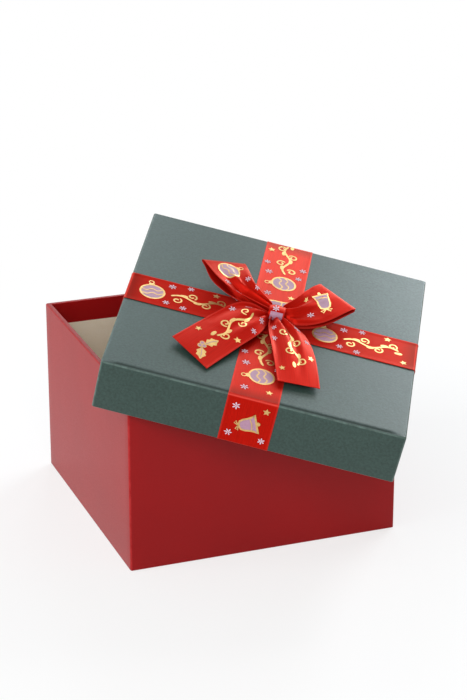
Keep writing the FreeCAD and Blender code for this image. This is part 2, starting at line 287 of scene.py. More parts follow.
class Paint:
    """A material with its nodes close at hand."""

    def __init__(self, name, color, roughness, **settings):
        self.material = bpy.data.materials.new(name)
        self.material.use_nodes = True
        self.tree = self.material.node_tree
        self.links = self.tree.links
        self.shader = self.tree.nodes["Principled BSDF"]
        self.color = color
        self.shader.inputs["Base Color"].default_value = opaque(color)
        self.shader.inputs["Roughness"].default_value = roughness
        for socket, value in settings.items():
            self.shader.inputs[socket.replace("_", " ")].default_value = value
        self.coordinates = self.node("TexCoord")["Object"]

    def node(self, kind, inputs=None, **settings):
        return new_node(self.tree, kind, inputs, **settings)

    def noise(self, scale, detail=3.0, vector=None):
        return self.node("TexNoise", {"Vector": vector or self.coordinates, "Scale": scale,
                                      "Detail": detail, "Roughness": 0.55})["Fac"]

    def bands(self, vector, direction, scale, distortion):
        return self.node("TexWave", {"Vector": vector, "Scale": scale, "Distortion": distortion},
                         wave_type="BANDS", bands_direction=direction)["Fac"]

    def stretched(self, scale, vector=None):
        """The object's coordinates, or others, stretched along their axes."""
        return self.node("Mapping", {"Vector": vector or self.coordinates, "Scale": scale})["Vector"]

    def ramp(self, value, low, high):
        """The value as 0 at low and 1 at high."""
        return self.node("MapRange", {"Value": value, "From Min": low, "From Max": high})["Result"]

    def times(self, first, second):
        return self.node("Math", {0: first, 1: second}, operation="MULTIPLY")["Value"]

    def plus(self, first, second):
        return self.node("Math", {0: first, 1: second}, operation="ADD")["Value"]

    def mix(self, factor, first, second):
        """The first colour where the factor is 0, and the second where it is 1."""
        made = self.tree.nodes.new("ShaderNodeMix")
        made.data_type = "RGBA"
        sockets = {socket.identifier: socket for socket in [*made.inputs, *made.outputs]}
        for name, value in (("Factor_Float", factor), ("A_Color", first), ("B_Color", second)):
            feed(self.tree, sockets[name], value)
        return sockets["Result_Color"]

    def shaded(self, value, low, high):
        """The material's colour times low where the value is 0, and times high where it is 1."""
        return self.mix(value, scaled(self.color, low), scaled(self.color, high))

    def attribute(self, name):
        return self.node("Attribute", attribute_name=name)["Fac"]

    def paint(self, color):
        self.links.new(color, self.shader.inputs["Base Color"])

    def gloss(self, value):
        self.links.new(value, self.shader.inputs["Roughness"])

    def bump(self, height, strength, distance, under=None):
        """Raise the surface by a height, over another bump if there is one."""
        inputs = {"Height": height, "Strength": strength, "Distance": distance}
        if under:
            inputs["Normal"] = under
        normal = self.node("Bump", inputs)["Normal"]
        self.links.new(normal, self.shader.inputs["Normal"])
        return normal


def paper(name, color, roughness, specular, grain_scale, grain, fleck, worn_highlight_color, worn_highlight_share):
    """Laminated paper: fine grain, faint clouding and edges painted a little lighter, as wear and as a
    highlight.

    The fleck is the shade of the grain's specks, and the last two arguments are the lighter edge colour, for
    wear and a painted highlight, and how much of it the edges show.
    """
    paint = Paint(name, color, roughness, Specular_IOR_Level=specular)
    cloud = paint.ramp(paint.noise(scale=18.0), low=0.35, high=0.65)
    speckle = paint.ramp(paint.noise(grain_scale, detail=2.0), low=0.3, high=0.7)
    shades = paint.shaded(cloud, low=0.94, high=1.05)
    shades = paint.mix(paint.times(speckle, 0.5), shades, scaled(color, fleck))
    mark = paint.attribute("wear_and_painted_light")
    broken = paint.ramp(paint.noise(scale=260.0, detail=4.0), low=0.30, high=0.62)
    # The edges are painted lighter in broken patches, partly as wear and partly as a highlight
    worn_highlight_mask = paint.times(paint.times(paint.ramp(mark, low=0.0, high=1.0), broken), worn_highlight_share)
    shades = paint.mix(worn_highlight_mask, shades, opaque(worn_highlight_color))
    # A negative mark paints the colour darker, as shade, and makes the paper rougher
    painted_shade = paint.ramp(mark, low=0.0, high=-1.0)
    paint.paint(paint.mix(paint.times(painted_shade, 0.8), shades, scaled(color, 0.3)))
    rough = paint.plus(paint.times(speckle, 0.08), roughness - 0.04)
    paint.gloss(paint.plus(rough, paint.times(painted_shade, 0.5)))
    fine = paint.bump(paint.noise(grain_scale), strength=grain, distance=0.1 * MM)
    paint.bump(paint.noise(scale=55.0, detail=2.0), strength=0.10, distance=0.5 * MM, under=fine)
    return paint.material


def plain_board(name, color, fibre_scale):
    """Unprinted board or kraft paper with flecks and fibres."""
    paint = Paint(name, color, roughness=0.85)
    fleck = paint.ramp(paint.noise(scale=900.0, detail=4.0), low=0.55, high=0.75)
    fibre_flow = paint.stretched((1.0, 1.0, 6.0))
    fibre = paint.ramp(paint.noise(fibre_scale, detail=5.0, vector=fibre_flow), low=0.4, high=0.6)
    shades = paint.shaded(fibre, low=0.9, high=1.08)
    paint.paint(paint.mix(fleck, shades, scaled(color, 0.72)))
    paint.bump(fibre, strength=0.2, distance=0.1 * MM)
    return paint.material


def satin(name, color, selvedge, ridge_highlight):
    """Woven satin: fine ribs across the ribbon, slubs along it, a gloss that spreads across it, and painted
    shade and highlights where marked.
    """
    paint = Paint(name, color, roughness=0.34, Metallic=0.34, Anisotropic=0.9, Anisotropic_Rotation=0.25,
                  Specular_IOR_Level=0.085, Specular_Tint=(1.0, 0.7, 0.5, 1.0))
    flow = paint.node("UVMap", uv_map="ribbon")["UV"]
    tangent = paint.node("Tangent", direction_type="UV_MAP", uv_map="ribbon")["Tangent"]
    paint.links.new(tangent, paint.shader.inputs["Tangent"])
    ribs = paint.bands(flow, "X", scale=0.9, distortion=0.6)
    threads = paint.bands(flow, "Y", scale=0.55, distortion=0.4)
    slub_flow = paint.stretched((0.05, 1.6, 1.0), flow)
    slub = paint.ramp(paint.noise(scale=1.4, vector=slub_flow), low=0.35, high=0.65)
    shades = paint.shaded(slub, low=0.88, high=1.08)
    shades = paint.mix(paint.times(ribs, 0.16), shades, scaled(color, 0.62))
    shade_and_highlight = paint.attribute("shade_and_highlight")
    # A negative mark paints the band darker, as shade, near the lid's edges
    painted_shade = paint.ramp(shade_and_highlight, low=0.0, high=-1.0)
    shades = paint.mix(paint.times(painted_shade, 0.7), shades, scaled(color, 0.4))
    # A positive mark paints a lighter red highlight on the band's bends over the edges
    painted_highlight = paint.ramp(shade_and_highlight, low=0.2, high=1.0)
    shades = paint.mix(paint.times(painted_highlight, 0.6), shades, opaque(ridge_highlight))
    edge = paint.attribute("wear_and_painted_light")
    paint.paint(paint.mix(paint.times(edge, 0.35), shades, opaque(selvedge)))
    paint.gloss(paint.plus(paint.times(slub, 0.07), 0.32))
    weave = paint.plus(paint.times(ribs, 0.5), paint.times(threads, 0.5))
    paint.bump(weave, strength=0.10, distance=0.06 * MM)
    return paint.material


def foil(name, color):
    """Hot-stamped foil, a little broken up by the weave under it."""
    paint = Paint(name, color, roughness=0.34, Metallic=0.8, Specular_IOR_Level=0.5)
    wrinkle = paint.ramp(paint.noise(scale=700.0), low=0.3, high=0.7)
    paint.paint(paint.shaded(wrinkle, low=0.86, high=1.12))
    paint.gloss(paint.plus(paint.times(wrinkle, 0.14), 0.28))
    paint.bump(wrinkle, strength=0.12, distance=0.05 * MM)
    return paint.material


def ink(name, color):
    """Matt printing ink on the weave."""
    paint = Paint(name, color, roughness=0.55)
    spread = paint.ramp(paint.noise(scale=1200.0, detail=2.0), low=0.3, high=0.7)
    paint.paint(paint.shaded(spread, low=0.9, high=1.06))
    paint.bump(spread, strength=0.1, distance=0.04 * MM)
    return paint.material


def clear_film(name, color, alpha):
    """Adhesive tape or glue, milky in places."""
    paint = Paint(name, color, roughness=0.3, Alpha=alpha)
    milky = paint.ramp(paint.noise(scale=120.0), low=0.4, high=0.6)
    paint.paint(paint.shaded(milky, low=0.92, high=1.05))
    paint.bump(paint.noise(scale=240.0, detail=2.0), strength=0.12, distance=0.1 * MM)
    return paint.material


# Each paper's worn colour paints its edges lighter, as wear and as a highlight
RED_PAPER = paper("red_paper", (0.31, 0.004, 0.005), roughness=0.36, specular=0.18, grain_scale=1900.0,
                  grain=0.10, fleck=0.82, worn_highlight_color=(0.55, 0.04, 0.04), worn_highlight_share=0.4)
GREEN_PAPER = paper("green_paper", (0.034, 0.067, 0.056), roughness=0.36, specular=0.34, grain_scale=850.0,
                    grain=0.40, fleck=0.30, worn_highlight_color=(0.12, 0.19, 0.165), worn_highlight_share=0.6)
CREAM_PAPER = paper("cream_paper", (0.84, 0.74, 0.585), roughness=0.6, specular=0.3, grain_scale=1300.0,
                    grain=0.12, fleck=0.9, worn_highlight_color=(0.86, 0.80, 0.70), worn_highlight_share=0.5)
GREYBOARD = plain_board("greyboard", (0.27, 0.25, 0.22), fibre_scale=260.0)
KRAFT = plain_board("stay_kraft", (0.35, 0.23, 0.12), fibre_scale=420.0)
# The last colour is a highlight painted on the bands' bends
RED_SATIN = satin("red_satin", (0.48, 0.006, 0.002), selvedge=(0.62, 0.04, 0.03), ridge_highlight=(0.70, 0.08, 0.06))
GOLD_FOIL = foil("gold_foil", (0.68, 0.44, 0.16))
LILAC_INK = ink("lilac_ink", (0.42, 0.23, 0.33))
WHITE_INK = ink("white_ink", (0.70, 0.56, 0.66))
CLEAR_TAPE = clear_film("clear_tape", (0.72, 0.70, 0.62), alpha=0.25)
HOT_GLUE = clear_film("hot_glue", (0.68, 0.60, 0.42), alpha=0.75)


# Base

def make_base():
    """The red wrap over the base's boards, and the liner round its inside."""
    low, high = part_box("base_wrap")
    floor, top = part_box("base_wall_liner")
    half_x = high.x + PROUD
    half_y = high.y + PROUD
    wall = half_x - top.x
    end = high.z - BASE_TURN_IN
    # The rounded edges' marks paint them lighter, as wear and as a highlight
    outside = fillet([(BASE_TURN_UNDER, low.z, 0), (0, low.z, FOLD_EDGE), (0, high.z, RIM_EDGE),
                      (wall, high.z, FOLD_EDGE), (wall, end, 0)])
    inside = fillet([(wall - PAPER, end, 0), (wall - PAPER, high.z - PAPER, FOLD_EDGE - PAPER),
                     (PAPER, high.z - PAPER, RIM_EDGE - PAPER), (PAPER, low.z + PAPER, FOLD_EDGE - PAPER),
                     (BASE_TURN_UNDER, low.z + PAPER, 0)])
    swept("base_wrap", half_x, half_y, WRAP_CORNER, outside + inside, False, Matrix(),
          RED_PAPER, "base")
    # The liner's top edge is painted lighter, as wear and as a highlight on its cut edge
    sheet = [(wall, floor.z, 0), (wall, top.z, LINER_WEAR_AND_HIGHLIGHT), (wall + PAPER, top.z, LINER_WEAR_AND_HIGHLIGHT),
             (wall + PAPER, floor.z, 0)]
    swept("base_wall_liner", half_x, half_y, wall + LINER_CORNER, sheet, False, Matrix(),
          CREAM_PAPER, "base")


# Lid

def make_lid():
    """The green wrap over the lid's boards."""
    low, high = lid_box("lid_wrap")
    wall = high.x + PROUD - lid_box("lid_liner")[1].x
    end = low.z + LID_TURN_IN
    # Flat points whose marks paint a line of shade along the front edge
    painted_shade = [(inset, 0, 0, mark) for inset, mark in FRONT_SHADE_LINE]
    outside = fillet([(LID_RINGS, 0, 0), *painted_shade, (0, 0, LID_EDGE), (0, low.z, SKIRT_EDGE),
                      (wall, low.z, FOLD_EDGE), (wall, end, 0)])
    inside = fillet([(wall - PAPER, end, 0), (wall - PAPER, low.z + PAPER, FOLD_EDGE - PAPER),
                     (PAPER, low.z + PAPER, SKIRT_EDGE - PAPER), (PAPER, -PAPER, LID_EDGE - PAPER),
                     (LID_RINGS, -PAPER, 0)])
    # Taken backwards, so that the faces look outwards
    profile = (outside + inside)[::-1]
    swept("lid_wrap", high.x + PROUD, high.y + PROUD, WRAP_CORNER, profile, True, LID,
          GREEN_PAPER, "lid")


# Ribbons: each has a surface that gives the place of a point (along, across) in the lid's frame

def slab_faces(steps_along, steps_across):
    """Faces of two grids of points that lie back to back, closed round their rims."""
    count = steps_across + 1
    layer = (steps_along + 1) * count
    faces = []
    for row in range(steps_along):
        for column in range(steps_across):
            first = row * count + column
            quad = (first, first + count, first + count + 1, first + 1)
            faces.append(quad)
            faces.append(tuple(layer + corner for corner in reversed(quad)))
    rim = list(range(steps_across))
    rim += [row * count + steps_across for row in range(steps_along)]
    rim += [steps_along * count + column for column in range(steps_across, 0, -1)]
    rim += [row * count for row in range(steps_along, 0, -1)]
    for first, second in zip(rim, rim[1:] + rim[:1]):
        faces.append((first, second, layer + second, layer + first))
    return faces


class Ribbon:
    """The ribbon that stands for a node, with its stops along it and the mark of painted shade or highlight
    at each stop.
    """

    def __init__(self, node, stops, width, surface, marks=(0.0, 0.0), flat_back=False):
        self.node = node
        self.stops = stops
        self.marks = marks
        self.length = stops[-1]
        self.width = width
        self.surface = surface
        self.flat_back = flat_back

    def place(self, along, across, lift):
        """The place of a point at some height over the ribbon's middle layer."""
        here = self.surface(along, across)
        ahead = self.surface(min(along + NUDGE, self.length), across)
        ahead -= self.surface(max(along - NUDGE, 0.0), across)
        beside = self.surface(along, across + NUDGE) - self.surface(along, across - NUDGE)
        return LID @ (here + ahead.cross(beside).normalized() * lift)

    def rows(self, step):
        """Places along the ribbon, at its stops and at even steps between them, with their marks."""
        rows = [(0.0, self.marks[0])]
        spans = zip(self.stops, self.stops[1:], self.marks, self.marks[1:])
        for start, end, mark, next_mark in spans:
            count = max(1, math.ceil((end - start) / step))
            for number in range(1, count + 1):
                part = number / count
                rows.append((start + (end - start) * part, mark + (next_mark - mark) * part))
        return rows

    def make(self, step, steps_across):
        """The ribbon as a closed mesh with its thickness."""
        rows = self.rows(step)
        inner = [SELVEDGE + (1 - 2 * SELVEDGE) * step / steps_across for step in range(steps_across + 1)]
        shares = [0.0, SELVEDGE / 2, *inner, 1 - SELVEDGE / 2, 1.0]
        last = len(shares) - 1
        points = []
        flows = []
        wear_and_painted_light = []
        shade_and_highlight_marks = []
        for side in (1, -1):
            beads = () if self.flat_back and side < 0 else (1, last - 1)
            for along, shade_and_highlight in rows:
                for column, share in enumerate(shares):
                    across = self.width * (share - 0.5)
                    gauge = SELVEDGE_GAUGE if column in beads else RIBBON_GAUGE
                    points.append(self.place(along, across, side * gauge / 2))
                    flows.append((along / MM, across / MM))
                    # On a ribbon this mark picks out the selvedges, which take their own colour
                    wear_and_painted_light.append(1.0 if column in (0, 1, last - 1, last) else 0.0)
                    # The mark that paints shade or a highlight on a band
                    shade_and_highlight_marks.append(shade_and_highlight)
        faces = slab_faces(len(rows) - 1, last)
        item = mesh_object(self.node + "_satin", points, faces, [RED_SATIN], "lid")
        flow = item.data.uv_layers.new(name="ribbon")
        for loop in item.data.loops:
            flow.data[loop.index].uv = flows[loop.vertex_index]
        mark_points(item, "wear_and_painted_light", wear_and_painted_light)
        mark_points(item, "shade_and_highlight", shade_and_highlight_marks)
        shade(item, 60)
        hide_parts(self.node)
        return item


def measured(points):
    """The length of a line up to each of its points."""
    lengths = [0.0]
    for first, second in zip(points, points[1:]):
        lengths.append(lengths[-1] + math.dist(first, second))
    return lengths


def span(lengths, place):
    """The number of the span of a measured line that a place lies in, and the share of that span."""
    number = bisect.bisect_left(lengths, place, 1, len(lengths) - 1)
    start = lengths[number - 1]
    return number, (place - start) / (lengths[number] - start)


def band_surface(path, along_x, shift):
    """A band that follows a line (reach, height) round the lid, along X or else along Y."""
    lengths = measured(path)

    def surface(along, across):
        number, part = span(lengths, along)
        start = path[number - 1]
        end = path[number]
        reach = start[0] + (end[0] - start[0]) * part
        height = start[1] + (end[1] - start[1]) * part
        if along_x:
            return Vector((reach, shift + across, height))
        return Vector((shift - across, reach, height))

    return surface, lengths


def make_bands():
    """The ribbon cross: over the lid, down the skirts, under their edges and up inside."""
    lid_low, lid_high = lid_box("lid_wrap")
    inside = lid_box("lid_liner")[1]
    end = lid_box("ribbon_end_tapes")[0].z + BAND_END
    gauge = RIBBON_GAUGE / 2
    under = lid_low.z - gauge
    bands = {}
    for node, axis in (("ribbon_front_back", 1), ("ribbon_left_right", 0)):
        low, high = lid_box(node)
        other = 1 - axis
        outer = lid_high[axis] + PROUD + gauge
        inner = inside[axis] - gauge
        top = high.z - gauge
        # Flat points whose marks paint the band darker, as shade, near the lid's edge; the marks on its
        # bends paint a highlight
        painted_shade = [(outer - inset, top, 0, -1) for inset in BAND_SHADE_LINE]
        line = fillet([(0, top, 0), (outer - BAND_SHADE, top, 0), *painted_shade, (outer, top, LID_EDGE + gauge),
                       (outer, top - BAND_DROP, 0), (outer, under, SKIRT_EDGE + gauge),
                       (inner, under, FOLD_EDGE + gauge), (inner, end, 0)])
        path = [(-x, y, mark) for x, y, mark in reversed(line)] + line[1:]
        shift = (low[other] + high[other]) / 2
        surface, stops = band_surface([(x, y) for x, y, mark in path], axis == 0, shift)
        marks = [mark for x, y, mark in path]
        width = high[other] - low[other]
        bands[node] = Ribbon(node, stops, width, surface, marks, flat_back=True)
    return bands


# The bow in the lid's frame, in millimetres. Each piece has stations along it from the knot, and each
# station is the places of its two selvedges.
RIBBON_MM = 25.0
STATIONS = {
    "bow_left_loop": [
        ((-2.8, -2.5, 2.4), (-2.2, 1.2, 3.0)), ((-18.8, 2.0, 2.8), (-9.0, 7.0, 3.4)),
        ((-25.5, 3.7, 4.0), (-13.0, 13.0, 4.6)), ((-34.7, 10.8, 6.0), (-16.8, 21.0, 6.0)),
        ((-40.6, 20.9, 7.9), (-20.2, 29.0, 7.0)), ((-42.6, 22.4, 9.5), (-20.8, 30.6, 8.3)),
        ((-41.4, 20.8, 11.0), (-20.4, 29.4, 9.6)), ((-33.2, 9.5, 10.5), (-16.5, 21.0, 9.8)),
        ((-24.0, 1.5, 9.0), (-12.8, 12.5, 9.5)), ((-15.5, -1.2, 7.6), (-8.5, 6.5, 8.6)),
        ((-2.8, -2.5, 5.0), (-2.2, 1.2, 6.5)),
    ],
    "bow_left_tail": [
        ((-2.5, -3.5, 4.2), (-1.5, -6.6, 3.4)), ((-13.5, -2.8, 7.0), (-2.5, -14.0, 4.6)),
        ((-22.0, -8.0, 7.0), (-5.0, -23.5, 4.6)), ((-35.0, -25.5, 4.4), (-13.5, -38.5, 2.8)),
        ((-46.0, -43.5, 3.0), (-25.5, -60.5, 1.0)),
    ],
    "bow_right_loop": [
        ((3.5, 1.2, 2.8), (4.4, -3.5, 2.2)), ((8.7, 9.0, 3.2), (12.0, -6.5, 2.2)),
        ((14.0, 20.0, 5.0), (25.0, -1.0, 3.4)), ((18.6, 27.2, 7.6), (38.0, 14.2, 5.6)),
        ((19.8, 28.9, 8.9), (39.6, 15.6, 6.8)), ((18.9, 27.6, 10.0), (38.4, 14.6, 8.0)),
        ((14.0, 20.0, 9.8), (25.0, -2.0, 6.4)), ((8.7, 9.0, 8.4), (12.0, -8.7, 5.4)),
        ((3.5, 1.2, 6.4), (4.4, -4.5, 5.0)),
    ],
    "bow_right_tail": [
        ((-1.0, -6.4, 4.6), (4.5, -4.5, 4.6)), ((-1.7, -13.0, 5.6), (10.5, -8.5, 5.4)),
        ((-1.0, -20.0, 5.4), (18.0, -15.5, 4.8)), ((3.5, -37.0, 4.6), (24.5, -30.5, 3.8)),
        ((9.0, -58.0, 2.6), (30.0, -55.5, 2.4)),
    ],
}
# Where a piece is drawn in, its spare width goes into folds: their number, the share that shows as height,
# and where the first one starts
FOLDS = 2.4
FOLD_SHARE = {"loop": 0.85, "tail": 0.6}
FOLD_PHASE = {"loop": 0.1, "tail": 0.35}
# The folds keep their height for this share of the way from the knot, and run out at the far end
FOLD_KEEP = 1 / 3
# Smaller ripples lie over the folds
RIPPLES = 4.1
RIPPLE_SHARE = 0.3
RIPPLE_PHASE = 0.2
# How far each piece is crowned between its selvedges
BULGE = {"loop": 0.8, "tail": 1.0}
# The number of steps in which a piece's length is measured
BOW_SAMPLES = 240


def smooth(part):
    """0 up to 0, 1 from 1 on, and a soft rise between them."""
    part = min(max(part, 0.0), 1.0)
    return part * part * (3 - 2 * part)


def spline(places, share):
    """A smooth line through the places, at a share of its stations."""
    reached = min(max(share, 0.0), 1.0) * (len(places) - 1)
    number = min(int(reached), len(places) - 2)
    part = reached - number
    first = places[max(number - 1, 0)]
    start = places[number]
    end = places[number + 1]
    last = places[min(number + 2, len(places) - 1)]
    leave = (end - first) / 2
    arrive = (last - start) / 2
    square = part * part
    cube = square * part
    return (start * (2 * cube - 3 * square + 1) + leave * (cube - 2 * square + part)
            + end * (3 * square - 2 * cube) + arrive * (cube - square))


def wave(turns):
    return math.cos(math.tau * turns)


def bow_surface(stations, kind):
    """A piece of the bow between its selvedges, folded near the knot and slightly crowned."""
    near = [Vector(first) for first, second in stations]
    far = [Vector(second) for first, second in stations]
    shares = [number / BOW_SAMPLES for number in range(BOW_SAMPLES + 1)]
    lengths = measured([(spline(near, share) + spline(far, share)) / 2 for share in shares])

    def surface(along, across):
        place = min(max(along / MM, 0.0), lengths[-1])
        share = across / MM / RIBBON_MM
        number, part = span(lengths, place)
        at = (number - 1 + part) / BOW_SAMPLES
        left = spline(near, at)
        right = spline(far, at)
        point = left.lerp(right, share + 0.5)
        from_knot = place / lengths[-1]
        if kind == "loop":
            from_knot = 1 - abs(2 * from_knot - 1)
        wide = min((right - left).length, RIBBON_MM)
        spare = math.sqrt(2 * ((RIBBON_MM / wide) ** 2 - 1)) * wide / (math.tau * FOLDS)
        height = wave(FOLDS * share + FOLD_PHASE[kind]) + RIPPLE_SHARE * wave(RIPPLES * share + RIPPLE_PHASE)
        point.z += FOLD_SHARE[kind] * spare * height * smooth((1 - from_knot) / (1 - FOLD_KEEP))
        point.z += BULGE[kind] * (1 - (2 * share) ** 2) * math.sin(math.pi * from_knot)
        return point * MM

    return surface, lengths[-1] * MM


# The knot in millimetres: its ribbon is folded lengthwise in layers, with a half turn between them
KNOT = Vector((1.0, -2.5, 1.0))
KNOT_SIZE = Vector((9.0, 9.6, 7.6))
KNOT_LAYERS = 3
KNOT_GAP = 0.45
KNOT_TURN = math.pi * KNOT_GAP / 2
KNOT_FACE = (RIBBON_MM - (KNOT_LAYERS - 1) * KNOT_TURN) / KNOT_LAYERS
# Its sides are drawn in by this share, and it is squarer than an ellipse where the power is below 1
KNOT_WAIST = 0.14
KNOT_POWER = 0.75
# Its ripples: their share of its size, their number across it, where they start, and how they vary round it
KNOT_RIPPLE = 0.025
KNOT_RIPPLES = 1.7
KNOT_PHASE = 0.6
KNOT_VARIES = 0.5
# Its ribbon starts underneath
KNOT_START = 1.5 * math.pi


def knot_fold(across):
    """Where a place across the folded ribbon lies: sideways from the knot's middle, and outwards."""
    layer = min(int(across / (KNOT_FACE + KNOT_TURN)), KNOT_LAYERS - 1)
    rest = across - layer * (KNOT_FACE + KNOT_TURN)
    way = 1 if layer % 2 == 0 else -1
    if rest <= KNOT_FACE:
        return way * (rest - KNOT_FACE / 2), layer * KNOT_GAP
    angle = math.pi * (rest - KNOT_FACE) / KNOT_TURN
    aside = KNOT_FACE / 2 + math.sin(angle) * KNOT_GAP / 2
    return way * aside, (layer + (1 - math.cos(angle)) / 2) * KNOT_GAP


def squared(value):
    """A sine or cosine that is held longer near its ends."""
    return math.copysign(abs(value) ** KNOT_POWER, value)


def knot_surface():
    """The ribbon folded lengthwise in three and wrapped once round the bow."""
    half = KNOT_SIZE / 2
    length = math.pi * (half.y + half.z)
    inner_y = half.y - (KNOT_LAYERS - 1) * KNOT_GAP
    inner_z = half.z - (KNOT_LAYERS - 1) * KNOT_GAP

    def surface(along, across):
        turn = math.tau * along / MM / length + KNOT_START
        aside, out = knot_fold(across / MM + RIBBON_MM / 2)
        share = aside / KNOT_SIZE.x
        waist = 1 - KNOT_WAIST * (2 * share) ** 4
        strength = KNOT_RIPPLE * (1 + KNOT_VARIES * math.sin(2 * turn))
        drawn = waist * (1 + strength * math.cos(math.tau * KNOT_RIPPLES * share + KNOT_PHASE))
        reach = squared(math.cos(turn)) * (inner_y + out) * drawn
        rise = squared(math.sin(turn)) * (inner_z + out) * drawn
        return (KNOT + Vector((aside, reach, half.z + rise))) * MM

    return surface, length * MM


def make_ribbons():
    """All the ribbons, each by the node that it stands for."""
    ribbons = make_bands()
    surfaces = {}
    for node, stations in STATIONS.items():
        surfaces[node] = bow_surface(stations, node.split("_")[-1])
    surfaces["bow_knot"] = knot_surface()
    for node, (surface, length) in surfaces.items():
        ribbons[node] = Ribbon(node, [0.0, length], RIBBON_MM * MM, surface)
    return ribbons


# Print: motifs as strokes and filled outlines laid on a ribbon. Places and stroke widths are in millimetres,
# and the shapes of a motif are in its own size.

INKS = [GOLD_FOIL, LILAC_INK, WHITE_INK]
GOLD, LILAC, WHITE = range(len(INKS))
# An open stroke narrows to this share at its ends, and a filled outline has this many rings
STROKE_TIP = 0.55
FILL_RINGS = 6
# The knot's patch: half its sides, and the steps along each
PATCH_HALF = (2.2, 3.3)
PATCH_STEPS = 10


def moved(shape, place, turn, size):
    """A shape enlarged, turned by some degrees and set down at a place."""
    cosine = math.cos(math.radians(turn)) * size
    sine = math.sin(math.radians(turn)) * size
    return [(place[0] + x * cosine - y * sine, place[1] + x * sine + y * cosine) for x, y in shape]


def turned(shape, angle):
    return moved(shape, (0.0, 0.0), angle, 1.0)


def oval(radius, steps, stretch=1.0, middle=(0.0, 0.0)):
    angles = [math.tau * step / steps for step in range(steps)]
    return [(middle[0] + radius * math.cos(angle), middle[1] + radius * stretch * math.sin(angle))
            for angle in angles]


class Print:
    """The printed motifs of one ribbon as one mesh. Higher levels lie over lower ones.

    The pen is the place, turn and size of the motif that is being drawn.
    """

    def __init__(self, ribbon):
        self.ribbon = ribbon
        self.length = ribbon.length / MM
        self.pen = None
        self.points = []
        self.faces = []
        self.inks = []

    def add(self, flat, faces, color, level):
        first = len(self.points)
        lift = RIBBON_GAUGE / 2 + PRINT_LIFT * (1 + level)
        for along, across in flat:
            self.points.append(self.ribbon.place(along * MM, across * MM, lift))
        for face in faces:
            self.faces.append(tuple(first + corner for corner in face))
            self.inks.append(color)

    def stroke(self, shape, width, color, level=1, closed=False):
        """A line of the given width, tapered at open ends."""
        line = moved(shape, *self.pen)
        count = len(line)
        flat = []
        for number, point in enumerate(line):
            before = line[number - 1] if number or closed else point
            after = line[(number + 1) % count] if number < count - 1 or closed else point
            way = Vector(after) - Vector(before)
            side = Vector((-way.y, way.x)).normalized() * (width / 2)
            if not closed and number in (0, count - 1):
                side *= STROKE_TIP
            flat.append((point[0] + side.x, point[1] + side.y))
            flat.append((point[0] - side.x, point[1] - side.y))
        faces = []
        for number in range(count if closed else count - 1):
            other = (number + 1) % count
            faces.append((2 * number, 2 * number + 1, 2 * other + 1, 2 * other))
        self.add(flat, faces, color, level)

    def fill(self, shape, color, level=0):
        """A filled outline that can be seen whole from its middle."""
        outline = moved(shape, *self.pen)
        count = len(outline)
        middle = sum((Vector(point) for point in outline), Vector((0, 0))) / count
        flat = [tuple(middle)]
        for ring in range(1, FILL_RINGS + 1):
            flat += [tuple(middle.lerp(Vector(point), ring / FILL_RINGS)) for point in outline]
        faces = [(0, 1 + number, 1 + (number + 1) % count) for number in range(count)]
        for ring in range(FILL_RINGS - 1):
            inner = 1 + ring * count
            for number in range(count):
                other = (number + 1) % count
                faces.append((inner + number, inner + count + number, inner + count + other, inner + other))
        self.add(flat, faces, color, level)

    def make(self):
        item = mesh_object(self.ribbon.node + "_print", self.points, self.faces, INKS, "lid")
        item.data.polygons.foreach_set("material_index", self.inks)
        thick = item.modifiers.new("gauge", "SOLIDIFY")
        thick.thickness = PRINT_GAUGE
        thick.offset = 0.0
        return item


def patch(art):
    """Part of a large lilac motif, a rectangle in short steps, so that it follows a tight bend."""
    corners = [Vector((x * PATCH_HALF[0], y * PATCH_HALF[1])) for x, y in SQUARE]
    outline = []
    for start, end in zip(corners, corners[1:] + corners[:1]):
        outline += [tuple(start.lerp(end, step / PATCH_STEPS)) for step in range(PATCH_STEPS)]
    art.fill(outline, LILAC)


def star(art):
    """A gold star with five points."""
    shape = []
    for number in range(10):
        radius = 1.0 if number % 2 == 0 else 0.48
        angle = math.radians(36 * number)
        shape.append((radius * math.cos(angle), radius * math.sin(angle)))
    art.fill(shape, GOLD, level=1)


def snowflake(art):
    """Six white arms, each with a tuft."""
    arm = [(0.12, 0), (0.5, 0), (0.85, 0), (1.0, 0)]
    tuft = [(0.62, -0.2), (0.74, 0), (0.62, 0.2)]
    for angle in range(0, 360, 60):
        art.stroke(turned(arm, angle), 0.5, WHITE)
        art.stroke(turned(tuft, angle), 0.34, WHITE, level=2)


def bauble(art):
    """A round hanging ornament: lilac with gold bands, cap and ring."""
    ball = oval(1.0, 28)
    art.fill(ball, LILAC)
    art.stroke(ball, 0.95, GOLD, closed=True)
    for height in (-0.28, 0.28):
        reach = math.sqrt(1 - height * height)
        band = [(-reach + 2 * reach * step / 14, height + 0.12 * math.cos(math.pi * step / 3.5))
                for step in range(15)]
        art.stroke(band, 0.6, GOLD, level=2)
    cap = [(-0.28, 0.95), (0.28, 0.95), (0.22, 1.22), (-0.22, 1.22)]
    art.fill(cap, GOLD, level=2)
    art.stroke(oval(0.2, 12, middle=(0.0, 1.42)), 0.55, GOLD, closed=True)


def bell(art):
    """A hand bell with a lilac body, gold outline, rim and clapper."""
    side = [(0.16, 0.92), (0.42, 0.78), (0.56, 0.45), (0.62, 0.05), (0.74, -0.35), (0.98, -0.62)]
    outline = side + [(-x, y) for x, y in reversed(side)]
    art.fill(outline, LILAC)
    art.stroke(outline, 0.95, GOLD, closed=True)
    art.stroke([(-0.66, -0.12), (0, -0.22), (0.66, -0.12)], 0.6, GOLD, level=2)
    art.fill(oval(0.2, 12, middle=(0.0, -0.76)), GOLD, level=2)
    bow = [(0, 1.0), (0.3, 1.28), (0.5, 1.1), (0, 1.0), (-0.5, 1.1), (-0.3, 1.28), (0, 1.0)]
    art.stroke(bow, 0.6, GOLD)


